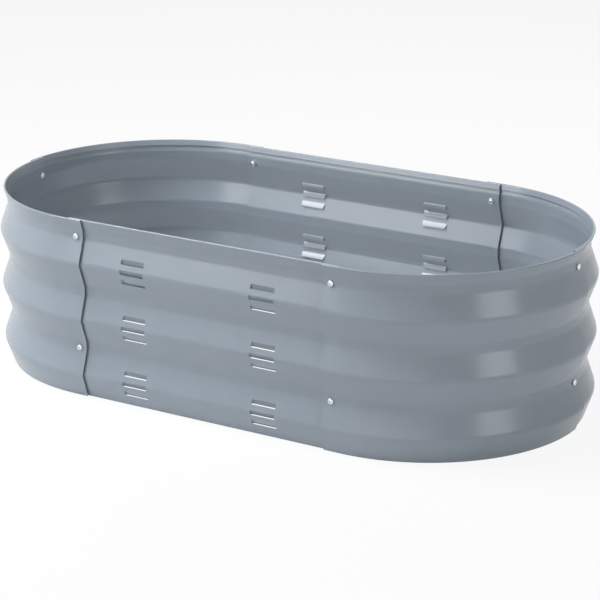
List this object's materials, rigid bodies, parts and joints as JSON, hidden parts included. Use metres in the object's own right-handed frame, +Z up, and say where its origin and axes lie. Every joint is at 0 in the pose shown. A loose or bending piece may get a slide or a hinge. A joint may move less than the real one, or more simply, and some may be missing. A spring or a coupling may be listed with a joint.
{
  "type": "raised garden bed",
  "caption": "Stadium-shaped raised garden bed of corrugated sheet steel panels bolted at overlapping seams, open at top and bottom, with louvred vents in its straight sides.",
  "frame": {"origin": "on the ground, under the middle of the bed", "axes": "+X along the bed's length, +Y towards its back, +Z up"},
  "size_m": [1.1792, 0.6162, 0.333],
  "materials": {
    "painted_sheet": "satin",
    "zinc_steel": "satin"
  },
  "bodies": {
    "root": {"bolt_back_left_lower": "zinc_steel", "bolt_back_left_upper": "zinc_steel", "bolt_back_right_lower": "zinc_steel", "bolt_back_right_upper": "zinc_steel", "bolt_end_left_lower": "zinc_steel", "bolt_end_left_upper": "zinc_steel", "bolt_end_right_lower": "zinc_steel", "bolt_end_right_upper": "zinc_steel", "bolt_front_left_lower": "zinc_steel", "bolt_front_left_upper": "zinc_steel", "bolt_front_right_lower": "zinc_steel", "bolt_front_right_upper": "zinc_steel", "corner_back_left": "painted_sheet", "corner_back_right": "painted_sheet", "corner_front_left": "painted_sheet", "corner_front_right": "painted_sheet", "nut_back_left_lower": "zinc_steel", "nut_back_left_upper": "zinc_steel", "nut_back_right_lower": "zinc_steel", "nut_back_right_upper": "zinc_steel", "nut_end_left_lower": "zinc_steel", "nut_end_left_upper": "zinc_steel", "nut_end_right_lower": "zinc_steel", "nut_end_right_upper": "zinc_steel", "nut_front_left_lower": "zinc_steel", "nut_front_left_upper": "zinc_steel", "nut_front_right_lower": "zinc_steel", "nut_front_right_upper": "zinc_steel", "panel_back": "painted_sheet", "panel_front": "painted_sheet"}
  },
  "joints": []
}
